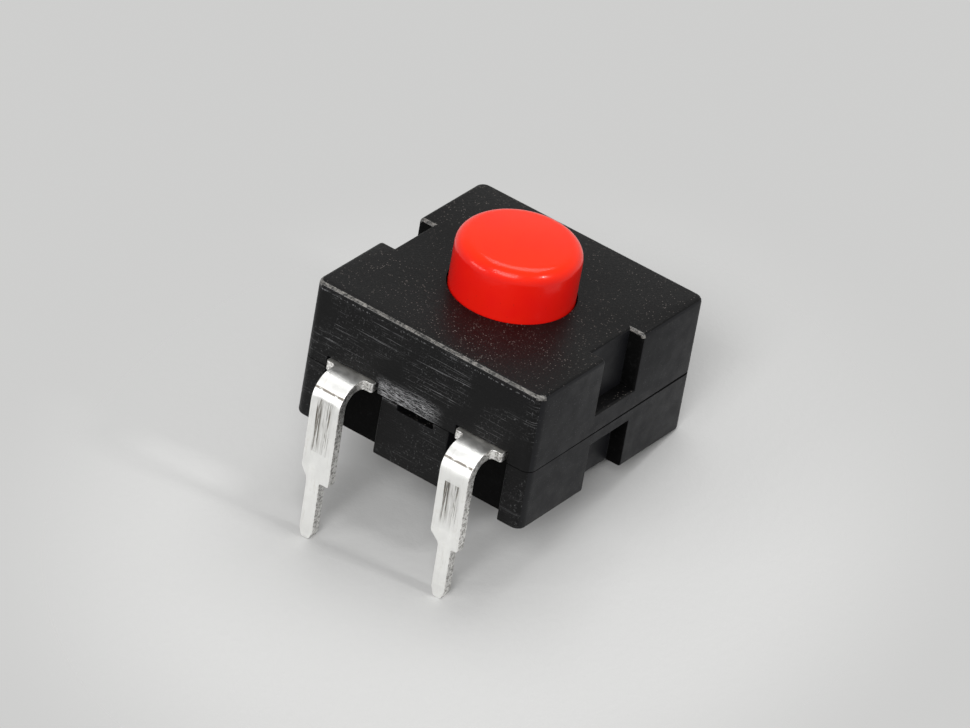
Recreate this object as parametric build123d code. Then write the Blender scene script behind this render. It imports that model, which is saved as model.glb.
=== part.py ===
from build123d import *
import math
import os

# A latching (push-on, push-off) power button for a circuit board.
# The origin is the middle of the housing's underside, +Z is the button's axis,
# and the two leg terminals leave the housing on its -Y side. Millimetres.

# ---------------------------------------------------------------- housing
body_x = 12.0                # outside width
body_y = 12.0                # outside depth
base_height = 2.95           # lower moulding, from the board to the parting line
cover_height = 3.80          # upper moulding, from the parting line to its top
corner_radius = 0.45         # upright corners of both mouldings
top_edge_radius = 0.20       # rounded rim of the cover's top
foot_edge_radius = 0.12      # rounded rim of the base's underside
parting_bevel = 0.05         # small bevel on both sides of the parting line
side_wall = 1.0              # wall on the plain sides
front_wall = 1.7             # wall that holds the terminals
cover_top_wall = 0.9
base_floor = 0.9

channel_width = 2.80         # upright grooves in the middle of the +X and -X sides
channel_depth = 0.75
channel_stop_above = 0.97    # plain strip between the parting line and the upper groove
channel_stop_below = 0.57    # plain strip between the parting line and the lower groove
channel_backing = 0.85       # wall left behind a groove

recess_width = 3.04          # leg recesses in the base's front
recess_shift = 0.13          # they sit this much nearer the middle than the strips
recess_depth = 0.70
vent_width = 1.9             # small slot in the base's top edge, between the legs
vent_height = 0.34
vent_depth = 0.6

peg_radius = 0.33            # four pegs of the cover that are staked into the base
peg_length = 1.3
peg_inset = 0.72             # peg axis, from both outside faces
peg_clearance = 0.03

# ---------------------------------------------------------------- button and latch
button_radius = 2.77
button_height = 2.62         # what stands out of the cover when it isn't latched
button_edge_radius = 0.65
button_dome = 0.12           # crown of the button's top face
button_bore_radius = 1.25
button_bore_end = 1.6        # solid height left above the bore
hole_clearance = 0.07        # radial, button in cover

press_travel = 1.40          # full stroke of the button
latch_travel = 0.90          # how far down the latch holds the rotor
teeth = 8                    # teeth of the button's crown, and of the rotor
tooth_height = 0.35
tooth_root = 0.08            # how deep a tooth is rooted in its ring
tooth_fill = 0.97            # width of a tooth, as a share of its step
tooth_inner_radius = 1.5
tooth_margin = 0.30          # from the teeth's outer end to the button's side
guides = 4                   # ribs of the cover's sleeve, and fins between them
rib_half_angle = 12.0        # degrees
rib_clearance = 0.15         # radial, button in the ribs
rib_depth = 0.70
sleeve_wall = 0.6
fin_radial_clearance = 0.10
fin_side_clearance = 0.05
button_fin_height = 0.62
rotor_fin_half_angle = 8.0   # degrees
rotor_bore_radius = 0.75
spigot_clearance = 0.05
run_gap = 0.03               # between faces that only touch under load

# ---------------------------------------------------------------- contacts
sheet = 0.45                 # terminal strip
terminal_pitch = 6.86        # between the middles of the two strips
pin_shift = 0.07             # the solder pins sit this much further out: 7.00 apart
ear_width = 2.48             # wide part that the housing holds
ear_reach = 0.24             # how far the wide part shows outside the housing
leg_width = 1.50
leg_standoff = 1.75          # outer face of the leg, from the housing's front
leg_lean = 2.0               # degrees, the legs lean back under the housing
leg_bend_radius = 0.65       # inside radius
shank_end_z = {"left": -1.10, "right": -0.82}   # where the wide shank ends
pin_tip_z = {"left": -4.62, "right": -4.00}
shank_taper = 0.50           # drop of the sloped shoulder; the other one is square
pin_width = 0.70
pin_tip_width = 0.36
pin_tip_length = 0.45
arm_width = 1.50
arm_bend_radius = 0.28
arm_end_y = 0.95
notch_side_clearance = 0.14  # beside the wide part, in the cover's lower edge
notch_top_clearance = 0.05

fixed_contact_radius = 0.60
fixed_contact_height = 0.25
moving_contact_radius = 0.50
moving_contact_height = 0.25
floor_clearance = 0.07       # under the plunger at full stroke
closed_gap = 0.02            # between the contacts at full stroke
bridge_thickness = 0.20
bridge_arm_width = 1.3
bridge_ring_radius = 2.35
bridge_end_margin = 0.15

stem_radius = 1.45           # plunger that carries the rotor and the contact bridge
stem_clearance = 0.12
stem_lip = 0.28              # lip that lifts the bridge, beyond the bridge's hole
stem_lip_height = 0.25
stem_bore_radius = 1.02
plunger_flange_radius = 2.5
plunger_flange_height = 0.30
plunger_web = 0.5            # solid height over the stem's bore

spring_wire = 0.20
return_spring_radius = 0.80
return_spring_turns = 5
contact_spring_radius = 1.80
contact_spring_turns = 2
post_radius = 0.45           # spring post of the base
post_height = 0.6

# ---------------------------------------------------------------- derived places
cover_top_z = base_height + cover_height
ceiling_z = cover_top_z - cover_top_wall
front_y = -body_y / 2
front_inner_y = front_y + front_wall
back_inner_y = body_y / 2 - side_wall
side_inner_x = body_x / 2 - side_wall
backing_x = body_x / 2 - channel_depth - channel_backing

rib_inner_radius = button_radius + rib_clearance
sleeve_inner_radius = rib_inner_radius + rib_depth
tooth_outer_radius = button_radius - tooth_margin
fin_radius = sleeve_inner_radius - fin_radial_clearance
button_fin_top = ceiling_z - run_gap
crown_root_z = button_fin_top - button_fin_height
rotor_top_z = crown_root_z - 1.5 * tooth_height - run_gap
rotor_tip_z = rotor_top_z + tooth_height

arm_top_z = base_floor + sheet
fixed_contact_top = arm_top_z + fixed_contact_height
lip_bottom_z = base_floor + press_travel + floor_clearance
lip_top_z = lip_bottom_z + stem_lip_height
bridge_z = lip_top_z + run_gap
bridge_top_z = bridge_z + bridge_thickness
contact_gap = bridge_z - moving_contact_height - fixed_contact_top
bridge_hole_radius = stem_radius + stem_clearance
rotor_bottom_z = rotor_top_z - 0.42
plunger_top_z = rotor_bottom_z - run_gap
flange_bottom_z = plunger_top_z - plunger_flange_height
stem_bore_top = plunger_top_z - plunger_web
spigot_radius = rotor_bore_radius - spigot_clearance
contact_x = terminal_pitch / 2

step_angle = 360 / teeth
SIDES = {"left": -1, "right": 1}


# ---------------------------------------------------------------- helpers
def prism(x0, x1, y0, y1, z0, z1):
    """A box from its lowest corner to its highest one."""
    return Pos((x0 + x1) / 2, (y0 + y1) / 2, (z0 + z1) / 2) * Box(x1 - x0, y1 - y0, z1 - z0)


def drum(radius, z0, z1, x=0.0, y=0.0):
    """An upright cylinder between two heights."""
    return Pos(x, y, (z0 + z1) / 2) * Cylinder(radius, z1 - z0)


def ring(outer, inner, z0, z1):
    return drum(outer, z0, z1) - drum(inner, z0 - 1, z1 + 1)


def polar(part, count, start=0.0):
    """The same part, repeated round the Z axis."""
    return [Rot(0, 0, start + 360 / count * i) * part for i in range(count)]


def sector(inner, outer, half_angle, z0, z1):
    """A block of a ring, centred on the +X direction."""
    start, end = -math.radians(half_angle), math.radians(half_angle)
    corners = [(r * math.cos(a), r * math.sin(a)) for r, a in
               ((inner, start), (outer, start), (outer, end), (inner, end))]
    outline = Line(corners[0], corners[1])
    outline += ThreePointArc(corners[1], (outer, 0), corners[2])
    outline += Line(corners[2], corners[3])
    outline += ThreePointArc(corners[3], (inner, 0), corners[0])
    return extrude(Pos(0, 0, z0) * make_face(outline), z1 - z0)


def tooth(direction):
    """One crown tooth on the +X direction, rooted just under z = 0, wider outwards."""
    ends = []
    for radius in (tooth_inner_radius, tooth_outer_radius):
        half = radius * tooth_fill * math.tan(math.radians(step_angle / 2))
        root = -direction * tooth_root
        face = make_face(Polyline((-half, root), (half, root), (half, 0),
                                  (0, direction * tooth_height), (-half, 0), close=True))
        ends.append(Plane(origin=(radius, 0, 0), x_dir=(0, 1, 0), z_dir=(1, 0, 0)) * face)
    return loft(ends)


def crown(direction, z, start):
    """The whole ring of teeth, pointing up (+1) or down (-1) from height z."""
    return [Pos(0, 0, z) * part for part in polar(tooth(direction), teeth, start)]


def moulding(z0, z1):
    """The outside of one half of the housing."""
    block = prism(-body_x / 2, body_x / 2, -body_y / 2, body_y / 2, z0, z1)
    return fillet(block.edges().filter_by(Axis.Z), corner_radius)


def hollow(z0, z1):
    """The space inside the walls, narrower where the side grooves are."""
    room = prism(-side_inner_x, side_inner_x, front_inner_y, back_inner_y, z0, z1)
    backing_half = channel_width / 2 + side_wall / 2
    for side in SIDES.values():
        near, far = sorted((side * backing_x, side * (side_inner_x + 1)))
        room -= prism(near, far, -backing_half, backing_half, z0, z1)
    return room


def channels(z0, z1):
    """Cutters for the grooves in the +X and -X sides."""
    cutters = []
    for side in SIDES.values():
        near, far = sorted((side * (body_x / 2 - channel_depth), side * (body_x / 2 + 1)))
        cutters.append(prism(near, far, -channel_width / 2, channel_width / 2, z0, z1))
    return cutters


def pegs(radius, z0, z1):
    reach_x = body_x / 2 - peg_inset
    reach_y = body_y / 2 - peg_inset
    return [drum(radius, z0, z1, x, y) for x in (-reach_x, reach_x) for y in (-reach_y, reach_y)]


def coil(radius, turns, z0, z1):
    """A round-wire spring that stands between two heights."""
    low = z0 + spring_wire / 2 + run_gap
    height = z1 - z0 - spring_wire - 2 * run_gap
    path = Pos(0, 0, low) * Helix(height / turns, height, radius)
    section = Plane(origin=path @ 0, z_dir=path % 0) * Circle(spring_wire / 2)
    return sweep(section, path)


# ---------------------------------------------------------------- housing pieces
def make_cover():
    cover = moulding(base_height, cover_top_z)
    cover = fillet(cover.faces().sort_by(Axis.Z)[-1].edges(), top_edge_radius)
    cover = chamfer(cover.faces().sort_by(Axis.Z)[0].edges(), parting_bevel)
    cover -= hollow(base_height - 1, ceiling_z)
    cover += ring(sleeve_inner_radius + sleeve_wall, sleeve_inner_radius,
                  rotor_top_z - latch_travel, ceiling_z)
    rib = sector(rib_inner_radius, sleeve_inner_radius + sleeve_wall / 2, rib_half_angle,
                 rotor_top_z - latch_travel, ceiling_z + cover_top_wall / 2)
    cover += polar(rib, guides, start=180 / guides)
    cover -= drum(button_radius + hole_clearance, ceiling_z - 1, cover_top_z + 1)
    cover -= channels(base_height + channel_stop_above, cover_top_z + 1)
    notch_half = ear_width / 2 + notch_side_clearance
    for side in SIDES.values():
        middle = side * terminal_pitch / 2
        cover -= prism(middle - notch_half, middle + notch_half, front_y - 1, front_inner_y + 1,
                       base_height - 1, base_height + sheet + notch_top_clearance)
    return cover + pegs(peg_radius, base_height - peg_length, base_height + side_wall)


def make_base():
    base = moulding(0, base_height)
    base = fillet(base.faces().sort_by(Axis.Z)[0].edges(), foot_edge_radius)
    base = chamfer(base.faces().sort_by(Axis.Z)[-1].edges(), parting_bevel)
    base -= hollow(base_floor, base_height + 1)
    base -= channels(-1, base_height - channel_stop_below)
    for side in SIDES.values():
        middle = side * (terminal_pitch / 2 - recess_shift)
        base -= prism(middle - recess_width / 2, middle + recess_width / 2,
                      front_y - 1, front_y + recess_depth, -1, base_height + 1)
    base -= prism(-vent_width / 2, vent_width / 2, front_y - 1, front_y + vent_depth,
                  base_height - vent_height, base_height + 1)
    base -= pegs(peg_radius + peg_clearance, base_height - peg_length - run_gap, base_height + 1)
    return base + drum(post_radius, base_floor - 0.1, base_floor + post_height)


# ---------------------------------------------------------------- button and latch pieces
def make_button():
    """A turned outline: crowned top, rounded rim, bore for the plunger's spigot."""
    top = cover_top_z + button_height
    rim_z = top - button_dome - button_edge_radius
    face_r = button_radius - button_edge_radius
    knee = button_edge_radius * math.sqrt(0.5)
    outline = Line((0, top), (0, crown_root_z))
    outline += Line((0, crown_root_z), (button_radius, crown_root_z))
    outline += Line((button_radius, crown_root_z), (button_radius, rim_z))
    outline += ThreePointArc((button_radius, rim_z), (face_r + knee, rim_z + knee),
                             (face_r, rim_z + button_edge_radius))
    crown_r = (face_r ** 2 + button_dome ** 2) / (2 * button_dome)
    crown_mid_z = top - crown_r + math.sqrt(crown_r ** 2 - (face_r / 2) ** 2)
    outline += ThreePointArc((face_r, rim_z + button_edge_radius),
                             (face_r / 2, crown_mid_z), (0, top))
    button = revolve(Plane.XZ * make_face(outline), Axis.Z)
    half_gap = math.degrees(fin_side_clearance / rib_inner_radius)
    fin = sector(button_radius - 0.4, fin_radius, 180 / guides - rib_half_angle - half_gap,
                 crown_root_z, button_fin_top)
    button += polar(fin, guides)
    button += crown(-1, crown_root_z, start=0)
    return button - drum(button_bore_radius, crown_root_z - 1, top - button_bore_end)


def make_rotor():
    """The indexing ring: teeth on top, fins that climb into the sleeve or stay below it."""
    rotor = drum(tooth_outer_radius, rotor_bottom_z, rotor_top_z)
    fin = sector(tooth_outer_radius - 0.3, fin_radius, rotor_fin_half_angle,
                 rotor_bottom_z, rotor_top_z)
    rotor += polar(fin, guides, start=-step_angle / 4)
    rotor += crown(1, rotor_top_z, start=step_angle / 4)
    return rotor - drum(rotor_bore_radius, rotor_bottom_z - 1, rotor_tip_z + 1)


def make_plunger():
    """Spigot for the rotor, flange, hollow stem, and the lip that lifts the bridge."""
    plunger = drum(plunger_flange_radius, flange_bottom_z, plunger_top_z)
    plunger += drum(spigot_radius, plunger_top_z - 0.1, rotor_top_z)
    plunger += drum(stem_radius, lip_bottom_z, flange_bottom_z + 0.1)
    plunger += drum(bridge_hole_radius + stem_lip, lip_bottom_z, lip_top_z)
    return plunger - drum(stem_bore_radius, lip_bottom_z - 1, stem_bore_top)


def make_return_spring():
    return coil(return_spring_radius, return_spring_turns, base_floor, stem_bore_top)


def make_contact_spring():
    return coil(contact_spring_radius, contact_spring_turns, bridge_top_z, flange_bottom_z)


# ---------------------------------------------------------------- contact pieces
def offset_corners(points, distance):
    """The corners of a polyline moved sideways, to the left of its direction."""
    moved = []
    for i, point in enumerate(points):
        before = points[i] - points[i - 1] if i else points[1] - points[0]
        after = points[i + 1] - points[i] if i + 1 < len(points) else before
        left_a = Vector(-before.Y, before.X).normalized()
        left_b = Vector(-after.Y, after.X).normalized()
        middle = (left_a + left_b).normalized()
        moved.append(point + middle * (distance / middle.dot(left_a)))
    return moved


def strip_face(points, turns, thickness):
    """The edge view of a bent strip. Each turn is (+1 left or -1 right, inside radius)."""
    left_radii = [r if way > 0 else r + thickness for way, r in turns]
    right_radii = [r + thickness if way > 0 else r for way, r in turns]
    left = offset_corners(points, thickness / 2)
    right = offset_corners(points, -thickness / 2)
    outline = FilletPolyline(*left, radius=left_radii)
    outline += FilletPolyline(*right, radius=right_radii)
    outline += Line(left[0], right[0]) + Line(left[-1], right[-1])
    return make_face(outline)


def terminal_strip(tip_z):
    """The whole bend of a terminal, as wide as its widest part, centred on x = 0."""
    strip_z = base_height + sheet / 2
    leg_y = front_y - leg_standoff + sheet / 2
    tip_y = leg_y + (strip_z - tip_z) * math.tan(math.radians(leg_lean))
    step_y = front_inner_y + sheet / 2 + arm_bend_radius
    arm_z = base_floor + sheet / 2
    points = [Vector(*p) for p in ((tip_y, tip_z), (leg_y, strip_z), (step_y, strip_z),
                                   (step_y, arm_z), (arm_end_y, arm_z))]
    turns = [(-1, leg_bend_radius), (-1, arm_bend_radius), (1, arm_bend_radius)]
    face = Plane(origin=(-ear_width / 2, 0, 0), x_dir=(0, 1, 0), z_dir=(1, 0, 0)) \
        * strip_face(points, turns, sheet)
    return extrude(face, ear_width)


def leg_outline(side):
    """The leg seen from the front: shank, one sloped and one square shoulder, pin, point."""
    end_z, tip_z = shank_end_z[side], pin_tip_z[side]
    shift = SIDES[side] * pin_shift
    half, pin_half, tip_half = leg_width / 2, pin_width / 2, pin_tip_width / 2
    top_z = base_height + 2 * sheet
    low = [(shift - pin_half, end_z - shank_taper), (shift - pin_half, tip_z + pin_tip_length),
           (shift - tip_half, tip_z), (shift + tip_half, tip_z),
           (shift + pin_half, tip_z + pin_tip_length), (shift + pin_half, end_z - shank_taper)]
    points = [(-half, top_z), (-half, end_z)] + low
    points += [(half, end_z - shank_taper), (half, top_z)]
    return make_face(Polyline(*points, close=True))


def make_terminal(side):
    """One strip: ear held by the housing, leg outside it, contact arm inside it."""
    strip = terminal_strip(pin_tip_z[side])
    ear_start = front_y - ear_reach
    far = body_y
    leg_room = extrude(Plane(origin=(0, ear_start, 0), x_dir=(1, 0, 0), z_dir=(0, -1, 0))
                       * leg_outline(side), far)
    ear_room = prism(-far, far, ear_start, front_inner_y, 0, far)
    arm_room = prism(-arm_width / 2, arm_width / 2, front_inner_y, far, 0, far)
    pieces = (strip & leg_room) + (strip & ear_room) + (strip & arm_room)
    return Pos(SIDES[side] * terminal_pitch / 2, 0, 0) * pieces


def contact_button(radius, z_flat, height, x):
    """A small silver contact with a rounded face; a negative height points down."""
    low, high = sorted((z_flat, z_flat + height))
    disc = drum(radius, low, high, x)
    face = disc.faces().sort_by(Axis.Z)[-1 if height > 0 else 0]
    return fillet(face.edges(), abs(height) * 0.6)


def make_bridge():
    reach = contact_x + moving_contact_radius + bridge_end_margin
    arms = prism(-reach, reach, -bridge_arm_width / 2, bridge_arm_width / 2, bridge_z, bridge_top_z)
    return arms + drum(bridge_ring_radius, bridge_z, bridge_top_z) \
        - drum(bridge_hole_radius, bridge_z - 1, bridge_top_z + 1)


# ---------------------------------------------------------------- all pieces
pieces = {
    "cover": make_cover(),
    "base": make_base(),
    "button": make_button(),
    "rotor": make_rotor(),
    "plunger": make_plunger(),
    "return_spring": make_return_spring(),
    "contact_spring": make_contact_spring(),
    "contact_bridge": make_bridge(),
}
for side, sign in SIDES.items():
    pieces["terminal_" + side] = make_terminal(side)
    pieces["fixed_contact_" + side] = contact_button(
        fixed_contact_radius, arm_top_z, fixed_contact_height, sign * contact_x)
    pieces["moving_contact_" + side] = contact_button(
        moving_contact_radius, bridge_z, -moving_contact_height, sign * contact_x)

os.makedirs("parts", exist_ok=True)
for name, piece in pieces.items():
    export_step(piece, f"parts/{name}.step")

full_press = press_travel - (contact_gap - closed_gap)
print(f"button travel {press_travel} mm, rotor half step {step_angle / 2} degrees")
print(f"bridge slides {full_press:.2f} mm up the plunger at full press")
print(f"plunger lip ends {lip_bottom_z - press_travel - base_floor:.2f} mm above the floor")
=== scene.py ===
# %% [markdown]
# # A latching push button, finished for a close view
# The switch is twelve millimetres wide, so the camera stands closer to it than a hand does, and
# everything small counts: the rounded rims that catch the light, the grain of the black plastic,
# the sheared edges of the two tinned legs. The frame brings the switch at its real size and place,
# and the pieces that show are modelled again here, inside the same sizes.

# %% Load the frame
import math

import bmesh
import bpy
from mathutils import Matrix, Vector


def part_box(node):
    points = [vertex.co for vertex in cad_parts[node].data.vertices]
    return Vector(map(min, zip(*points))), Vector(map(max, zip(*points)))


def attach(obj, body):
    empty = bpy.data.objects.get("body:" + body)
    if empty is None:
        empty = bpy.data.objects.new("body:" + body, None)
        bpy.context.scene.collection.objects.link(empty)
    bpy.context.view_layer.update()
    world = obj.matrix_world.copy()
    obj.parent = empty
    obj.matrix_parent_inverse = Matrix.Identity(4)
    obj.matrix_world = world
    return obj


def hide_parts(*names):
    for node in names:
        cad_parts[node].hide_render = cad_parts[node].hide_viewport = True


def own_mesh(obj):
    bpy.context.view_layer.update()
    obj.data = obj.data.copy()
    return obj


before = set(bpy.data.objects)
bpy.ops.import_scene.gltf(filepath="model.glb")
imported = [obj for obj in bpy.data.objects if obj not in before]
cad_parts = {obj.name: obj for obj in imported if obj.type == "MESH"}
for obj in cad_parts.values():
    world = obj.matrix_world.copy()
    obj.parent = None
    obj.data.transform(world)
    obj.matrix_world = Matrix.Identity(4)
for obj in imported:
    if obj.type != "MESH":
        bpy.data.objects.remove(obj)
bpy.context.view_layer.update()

# %% [markdown]
# ## A bench in millimetres
# Blender's bevels and cuts are surer on shapes a few units across than on shapes of a hundredth of
# a unit. So each piece is made in millimetres, and shrunk to metres as the last step before it goes
# onto its body. The corners that matter are read from the frame's boxes, never typed in.

# %% Boxes in millimetres, and the way a piece leaves the bench
MM = 0.001


def box_mm(node):
    """Lowest and highest corner of a node of the frame, in millimetres."""
    low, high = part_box(node)
    return Vector(low) / MM, Vector(high) / MM


def put_in_scene(name, data):
    """A new object of the scene, round a mesh, a light or a camera."""
    made = bpy.data.objects.new(name, data)
    bpy.context.scene.collection.objects.link(made)
    return made


def piece_from(bm, name):
    """A new object from a bmesh, still in millimetres, with its faces turned outwards."""
    mesh = bpy.data.meshes.new(name)
    bmesh.ops.recalc_face_normals(bm, faces=bm.faces)
    if bm.calc_volume(signed=True) < 0:
        bmesh.ops.reverse_faces(bm, faces=bm.faces)
    bm.to_mesh(mesh)
    bm.free()
    return put_in_scene(name, mesh)


def bake_modifiers(piece):
    """Puts the result of the piece's modifiers into its mesh."""
    graph = bpy.context.evaluated_depsgraph_get()
    made = bpy.data.meshes.new_from_object(piece.evaluated_get(graph))
    piece.modifiers.clear()
    piece.data = made
    made.name = piece.name


def leave_bench(piece, body, slot, *nodes):
    """To metres, onto its body, in place of its nodes."""
    piece.data.transform(Matrix.Scale(MM, 4))
    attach(piece, body)
    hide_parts(*nodes)
    print(piece.name, "has", len(piece.data.polygons), "faces")


# %% [markdown]
# ## Cutting and easing
# A moulded housing is a block with pockets, so it is made like one: a rounded block, then cutters
# for each groove, notch and hole. Fresh cuts are perfectly sharp and look drawn, so a narrow bevel
# goes round every edge afterwards. Its hardened normals keep the flats flat, and only the bevel
# itself catches a line of light.

# %% Blocks, drums and prisms
NEAR = 1e-4                           # closer than this, in millimetres, counts as touching
CORNER_STEPS, RIM_STEPS, DRUM_STEPS = 6, 4, 64


def rounded(bm, edges, radius, steps, clamp=False):
    """Rounds some edges of a bmesh."""
    bmesh.ops.bevel(bm, geom=edges, offset=radius, affect="EDGES", segments=steps, profile=0.5,
                    material=-1, clamp_overlap=clamp)


def block(low, high, corner=0.0, rim=0.0, rim_up=True):
    """A box with rounded upright corners and one rounded rim, above or below."""
    low, high = Vector(low), Vector(high)
    bm = bmesh.new()
    bmesh.ops.create_cube(bm, size=1.0)
    bmesh.ops.scale(bm, vec=high - low, verts=bm.verts)
    bmesh.ops.translate(bm, vec=(low + high) / 2, verts=bm.verts)
    if corner:
        upright = [e for e in bm.edges if abs(e.verts[0].co.z - e.verts[1].co.z) > NEAR]
        rounded(bm, upright, corner, CORNER_STEPS)
    if rim:
        z = high.z if rim_up else low.z
        around = [e for e in bm.edges if all(abs(v.co.z - z) < NEAR for v in e.verts)]
        rounded(bm, around, rim, RIM_STEPS)
    return bm


def drum(radius, z0, z1, steps=DRUM_STEPS):
    """An upright cylinder round the switch's axis, between two heights."""
    bm = bmesh.new()
    bmesh.ops.create_cone(bm, cap_ends=True, segments=steps, radius1=radius, radius2=radius,
                          depth=z1 - z0)
    bmesh.ops.translate(bm, vec=(0, 0, (z0 + z1) / 2), verts=bm.verts)
    return bm


def prism(outline, z0, z1):
    """An outline, as (x, y), drawn up from one height to another."""
    bm = bmesh.new()
    face = bm.faces.new([bm.verts.new((x, y, z0)) for x, y in outline])
    made = bmesh.ops.extrude_face_region(bm, geom=[face])
    raised = [v for v in made["geom"] if isinstance(v, bmesh.types.BMVert)]
    bmesh.ops.translate(bm, vec=(0, 0, z1 - z0), verts=raised)
    return bm


# %% Cuts and eased edges
def carve(piece, shapes, operation="DIFFERENCE"):
    """Cuts each bmesh out of the piece, or adds it with UNION."""
    tools = []
    for number, shape in enumerate(shapes):
        tool = piece_from(shape, f"tool_{number}")
        modifier = piece.modifiers.new("cut", "BOOLEAN")
        modifier.object = tool
        modifier.operation = operation
        modifier.solver = "EXACT"
        tools.append(tool)
    bake_modifiers(piece)
    for tool in tools:
        bpy.data.objects.remove(tool)


def ease_zone(piece, low, high, width, steps=3):
    """Rounds the outward edges inside a box, before the rest of the piece is cut."""
    bm = bmesh.new()
    bm.from_mesh(piece.data)
    inside = {v for v in bm.verts if all(low[i] <= v.co[i] <= high[i] for i in range(3))}
    sharp = [e for e in bm.edges if set(e.verts) <= inside and e.is_convex
             and e.calc_face_angle(0) > math.radians(60)]
    rounded(bm, sharp, width, steps, clamp=True)
    bm.to_mesh(piece.data)
    bm.free()
    print(piece.name, "rounded", len(sharp), "edges")


def ease_edges(piece, width, segments=2, angle=40.0):
    """A narrow bevel on every edge that turns by more than the angle."""
    bevel = piece.modifiers.new("ease", "BEVEL")
    bevel.width = width
    bevel.segments = segments
    bevel.limit_method = "ANGLE"
    bevel.angle_limit = math.radians(angle)
    bevel.harden_normals = True
    bevel.use_clamp_overlap = True
    piece.data.shade_smooth()
    bake_modifiers(piece)


# %% [markdown]
# ## The housing's two mouldings
# Cover and base are separate mouldings that meet at a fine line a little below the middle. Both
# have a groove in the middle of each side. The cover is notched over the two terminals, and the
# base has a tall recess behind each leg and a small vent slot between them. They are cut from
# blocks, because every one of these shapes is a straight pull of the mould.

# %% Housing sizes
cover_high, base_high, button_high = (box_mm(node)[1] for node in ("cover", "base", "button"))
left_low, left_high = box_mm("terminal_left")
right_low, right_high = box_mm("terminal_right")

PART_Z = base_high.z                  # the parting line
HALF_X, HALF_Y = base_high.x, base_high.y
CORNER, TOP_RIM, FOOT_RIM = 0.45, 0.20, 0.12
SIDE_WALL, FRONT_WALL, ROOF = 1.0, 1.7, 0.9
CEILING_Z = cover_high.z - ROOF
FLOOR_Z = 0.9                         # the inner floor of the base
GROOVE_HALF, GROOVE_DEPTH, GROOVE_BACKING = 1.40, 0.75, 0.85
COVER_BAND, BASE_BAND = 0.97, 0.57    # the side grooves stop this far from the parting line
COVER_STOP, BASE_STOP = PART_Z + COVER_BAND, PART_Z - BASE_BAND
SHEET = 0.45                          # thickness of the terminals
EAR_WIDTH = left_high.x - left_low.x
STRIP_X = (right_high.x + right_low.x) / 2
NOTCH_BESIDE, NOTCH_ABOVE = 0.14, 0.05     # room round each strip where it leaves the cover
NOTCH_HALF = EAR_WIDTH / 2 + NOTCH_BESIDE
RECESS_HALF, RECESS_DEPTH, RECESS_INWARD = 1.52, 0.70, 0.13
RECESS_X = STRIP_X - RECESS_INWARD
VENT_HALF, VENT_HEIGHT, VENT_DEPTH = 0.95, 0.34, 0.60
print("parting line at", round(PART_Z, 2), "mm, strips at x =", round(STRIP_X, 2), "mm")

# %% Cutters that both mouldings share
PAST = 1.0                            # how far a cutter reaches past what it cuts


def mirrored(low, high):
    """The same box on the +X and on the -X side."""
    return [block(low, high), block((-high[0], low[1], low[2]), (-low[0], high[1], high[2]))]


def hollow(z0, z1):
    """The room inside the walls, waisted where the side grooves back into it."""
    backing_x = HALF_X - GROOVE_DEPTH - GROOVE_BACKING
    backing_y = GROOVE_HALF + SIDE_WALL / 2
    wide_x = HALF_X - SIDE_WALL
    right = [(wide_x, -HALF_Y + FRONT_WALL), (wide_x, -backing_y), (backing_x, -backing_y),
             (backing_x, backing_y), (wide_x, backing_y), (wide_x, HALF_Y - SIDE_WALL)]
    return prism(right + [(-x, y) for x, y in reversed(right)], z0, z1)


def grooves(z0, z1):
    """The two side grooves, between two heights."""
    return mirrored((HALF_X - GROOVE_DEPTH, -GROOVE_HALF, z0), (HALF_X + PAST, GROOVE_HALF, z1))


# %% [markdown]
# ## The cover
# The groove's outer edges are rounder than the rest, so they are eased while the block still has
# few edges. Inside, a sleeve with four ribs guides the button. The two mouldings are staked
# together, and on the right they stand open by a hair towards the back, so a thin wedge is cut
# there and the seam widens along it.

# %% Sleeve and seam sizes
BUTTON_R = 2.77
HOLE_PLAY, RIB_PLAY, SLEEVE_PLAY = 0.07, 0.15, 0.85    # gaps round the button, from the hole down
HOLE_R, HOLE_STEPS = BUTTON_R + HOLE_PLAY, 96
SLEEVE_R, SLEEVE_WALL, SLEEVE_END_Z = BUTTON_R + SLEEVE_PLAY, 0.60, 3.745
RIB_R, RIB_HALF_ANGLE = BUTTON_R + RIB_PLAY, math.radians(12)
GROOVE_ROUND, ROUND_MARGIN = 0.13, 0.01
COVER_EASE, BASE_EASE, BUTTON_EASE = 0.04, 0.045, 0.05
SEAM_FROM_Y, SEAM_DEPTH = -3.2, 0.30
SEAM_GAP_FRONT, SEAM_GAP_BACK = 0.01, 0.09
SUNK = 0.2                            # how deep an added shape stands in what it joins


def sleeve_rib(angle):
    """One guide rib of the sleeve: a thin block, turned to its place round the button."""
    half = RIB_R * math.tan(RIB_HALF_ANGLE)
    outer = SLEEVE_R + SLEEVE_WALL / 2
    rib = block((RIB_R, -half, SLEEVE_END_Z), (outer, half, CEILING_Z + SUNK))
    bmesh.ops.rotate(rib, matrix=Matrix.Rotation(angle, 3, "Z"), verts=rib.verts)
    return rib


def open_seam():
    """The wedge that widens the seam on the right, from the front to the back."""
    wedge = block((HALF_X - SEAM_DEPTH, SEAM_FROM_Y, PART_Z - PAST),
                  (HALF_X + PAST, HALF_Y + PAST, PART_Z + SEAM_GAP_BACK))
    for vert in wedge.verts:
        if vert.co.y < 0 and vert.co.z > PART_Z:
            vert.co.z = PART_Z + SEAM_GAP_FRONT
    return wedge


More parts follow.
